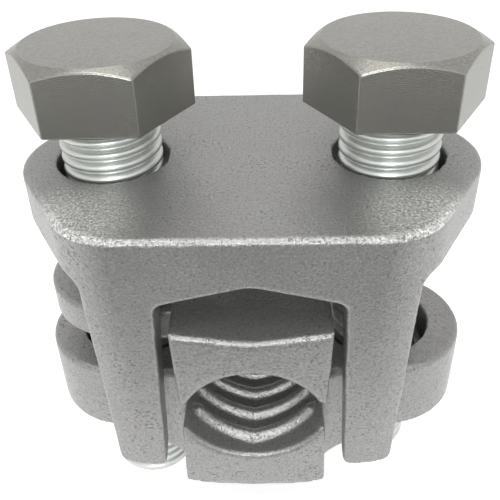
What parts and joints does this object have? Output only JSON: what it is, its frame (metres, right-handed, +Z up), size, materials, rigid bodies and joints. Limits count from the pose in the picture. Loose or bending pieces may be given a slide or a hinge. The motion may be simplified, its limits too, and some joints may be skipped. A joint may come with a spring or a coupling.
{
  "type": "two-bolt cable connector",
  "caption": "Cast two-bolt parallel connector: a lobed yoke with legs, a loose eared spacer and a ridged lower clamp, drawn together by hexagon bolts over two conductors.",
  "frame": {"origin": "centre of the yoke's flat top face, midway between the bolts", "axes": "+X from the left bolt to the right bolt, +Y along the conductors, +Z up along the bolts"},
  "size_m": [0.0754, 0.0496, 0.089],
  "materials": {
    "cast_aluminium": "sand cast, fine grain, satin",
    "zinc_plated_steel": "zinc plated, satin"
  },
  "bodies": {
    "yoke": {"yoke": "cast_aluminium"},
    "spacer": {"spacer": "cast_aluminium"},
    "lower_clamp": {"lower_clamp": "cast_aluminium"},
    "bolt_left": {"bolt_left": "zinc_plated_steel"},
    "bolt_right": {"bolt_right": "zinc_plated_steel"}
  },
  "joints": [
    {"name": "left_bolt_turn", "type": "hinge", "parent": "yoke", "child": "bolt_left", "pos_m": [-0.022, 0, 0], "axis": [0, 0, -1], "range_deg": [-2160, 1530]},
    {"name": "right_bolt_turn", "type": "hinge", "parent": "yoke", "child": "bolt_right", "pos_m": [0.022, 0, 0], "axis": [0, 0, -1], "range_deg": [-2160, 1530]},
    {"name": "clamp_travel", "type": "slide", "parent": "yoke", "child": "lower_clamp", "axis": [0, 0, 1], "range_m": [-0.012, 0.0085]},
    {"name": "spacer_travel", "type": "slide", "parent": "yoke", "child": "spacer", "axis": [0, 0, 1], "range_m": [-0.0072, 0.0051]}
  ],
  "couplings": [
    {"joint": "right_bolt_turn", "follows": "left_bolt_turn", "ratio": 1},
    {"joint": "clamp_travel", "follows": "left_bolt_turn", "m_per_rad": 0.00031831},
    {"joint": "spacer_travel", "follows": "left_bolt_turn", "m_per_rad": 0.00019099}
  ]
}
